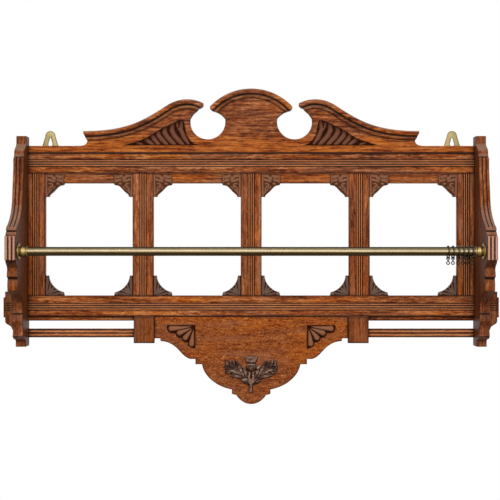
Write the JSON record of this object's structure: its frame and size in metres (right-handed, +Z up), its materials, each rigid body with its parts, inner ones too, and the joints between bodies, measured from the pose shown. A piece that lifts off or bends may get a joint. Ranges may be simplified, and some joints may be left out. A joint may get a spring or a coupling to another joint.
{
  "type": "wall rack",
  "caption": "Carved oak wall rack with a swan-neck crest, open bays, shaped side boards, a brass rail with sliding rings, and a carved apron.",
  "frame": {"origin": "on the wall plane, on the centre line, on the back of the top rail 14 mm below its upper edge", "axes": "+X to the viewer's right, +Z up, +Y into the wall: the rack stands out towards -Y"},
  "size_m": [1.09, 0.166, 0.694],
  "materials": {
    "oak_frame": "waxed quarter-sawn oak, satin",
    "oak_carving": "dark stained carved oak, satin",
    "brass": "aged lacquered brass"
  },
  "bodies": {
    "rack": {"crest_board": "oak_frame", "crest_moulding_left": "oak_frame", "crest_moulding_arch": "oak_frame", "crest_moulding_right": "oak_frame", "top_rail": "oak_frame", "bottom_rail": "oak_frame", "stile_1": "oak_frame", "stile_2": "oak_frame", "stile_3": "oak_frame", "stile_4": "oak_frame", "stile_5": "oak_frame", "header_1": "oak_frame", "header_2": "oak_frame", "header_3": "oak_frame", "header_4": "oak_frame", "corner_1_left": "oak_carving", "corner_1_right": "oak_carving", "corner_2_left": "oak_carving", "corner_2_right": "oak_carving", "corner_3_left": "oak_carving", "corner_3_right": "oak_carving", "corner_4_left": "oak_carving", "corner_4_right": "oak_carving", "apron": "oak_frame", "thistle_carving": "oak_carving", "brass_rail": "brass", "side_board_left": "oak_frame", "ear_left": "oak_frame", "pendant_block_left": "oak_frame", "slat_left": "oak_frame", "rail_flange_left": "brass", "flange_screw_left_1": "brass", "flange_screw_left_2": "brass", "hanging_plate_left": "brass", "hanger_screw_left_1": "brass", "hanger_screw_left_2": "brass", "side_board_right": "oak_frame", "ear_right": "oak_frame", "pendant_block_right": "oak_frame", "slat_right": "oak_frame", "rail_flange_right": "brass", "flange_screw_right_1": "brass", "flange_screw_right_2": "brass", "hanging_plate_right": "brass", "hanger_screw_right_1": "brass", "hanger_screw_right_2": "brass"},
    "ring_1": {"ring_1": "brass"},
    "eyelet_1": {"ring_eyelet_1": "brass"},
    "ring_2": {"ring_2": "brass"},
    "eyelet_2": {"ring_eyelet_2": "brass"},
    "ring_3": {"ring_3": "brass"},
    "eyelet_3": {"ring_eyelet_3": "brass"},
    "ring_4": {"ring_4": "brass"},
    "eyelet_4": {"ring_eyelet_4": "brass"},
    "ring_5": {"ring_5": "brass"},
    "eyelet_5": {"ring_eyelet_5": "brass"},
    "ring_6": {"ring_6": "brass"},
    "eyelet_6": {"ring_eyelet_6": "brass"}
  },
  "joints": [
    {"name": "ring_1_slide", "type": "slide", "parent": "rack", "child": "ring_1", "axis": [1, 0, 0], "range_m": [-0.145, 0]},
    {"name": "eyelet_1_swing", "type": "hinge", "parent": "ring_1", "child": "eyelet_1", "pos_m": [0.4652, -0.132, -0.2037], "axis": [0.9945, 0.1045, 0], "range_deg": [-60, 60]},
    {"name": "ring_2_slide", "type": "slide", "parent": "ring_1", "child": "ring_2", "axis": [1, 0, 0], "range_m": [-0.145, 0]},
    {"name": "eyelet_2_swing", "type": "hinge", "parent": "ring_2", "child": "eyelet_2", "pos_m": [0.4555, -0.132, -0.2037], "axis": [0.9954, 0.0958, 0], "range_deg": [-60, 60]},
    {"name": "ring_3_slide", "type": "slide", "parent": "ring_2", "child": "ring_3", "axis": [1, 0, 0], "range_m": [-0.145, 0]},
    {"name": "eyelet_3_swing", "type": "hinge", "parent": "ring_3", "child": "eyelet_3", "pos_m": [0.4457, -0.132, -0.2037], "axis": [0.9945, 0.1045, 0], "range_deg": [-60, 60]},
    {"name": "ring_4_slide", "type": "slide", "parent": "ring_3", "child": "ring_4", "axis": [1, 0, 0], "range_m": [-0.145, 0]},
    {"name": "eyelet_4_swing", "type": "hinge", "parent": "ring_4", "child": "eyelet_4", "pos_m": [0.4358, -0.132, -0.2037], "axis": [0.9954, 0.0958, 0], "range_deg": [-60, 60]},
    {"name": "ring_5_slide", "type": "slide", "parent": "ring_4", "child": "ring_5", "axis": [1, 0, 0], "range_m": [-0.145, 0]},
    {"name": "eyelet_5_swing", "type": "hinge", "parent": "ring_5", "child": "eyelet_5", "pos_m": [0.4247, -0.132, -0.2037], "axis": [0.9945, 0.1045, 0], "range_deg": [-60, 60]},
    {"name": "ring_6_slide", "type": "slide", "parent": "ring_5", "child": "ring_6", "axis": [1, 0, 0], "range_m": [-0.145, 0]},
    {"name": "eyelet_6_swing", "type": "hinge", "parent": "ring_6", "child": "eyelet_6", "pos_m": [0.4146, -0.132, -0.2037], "axis": [0.9962, 0.0872, 0], "range_deg": [-60, 60]}
  ]
}
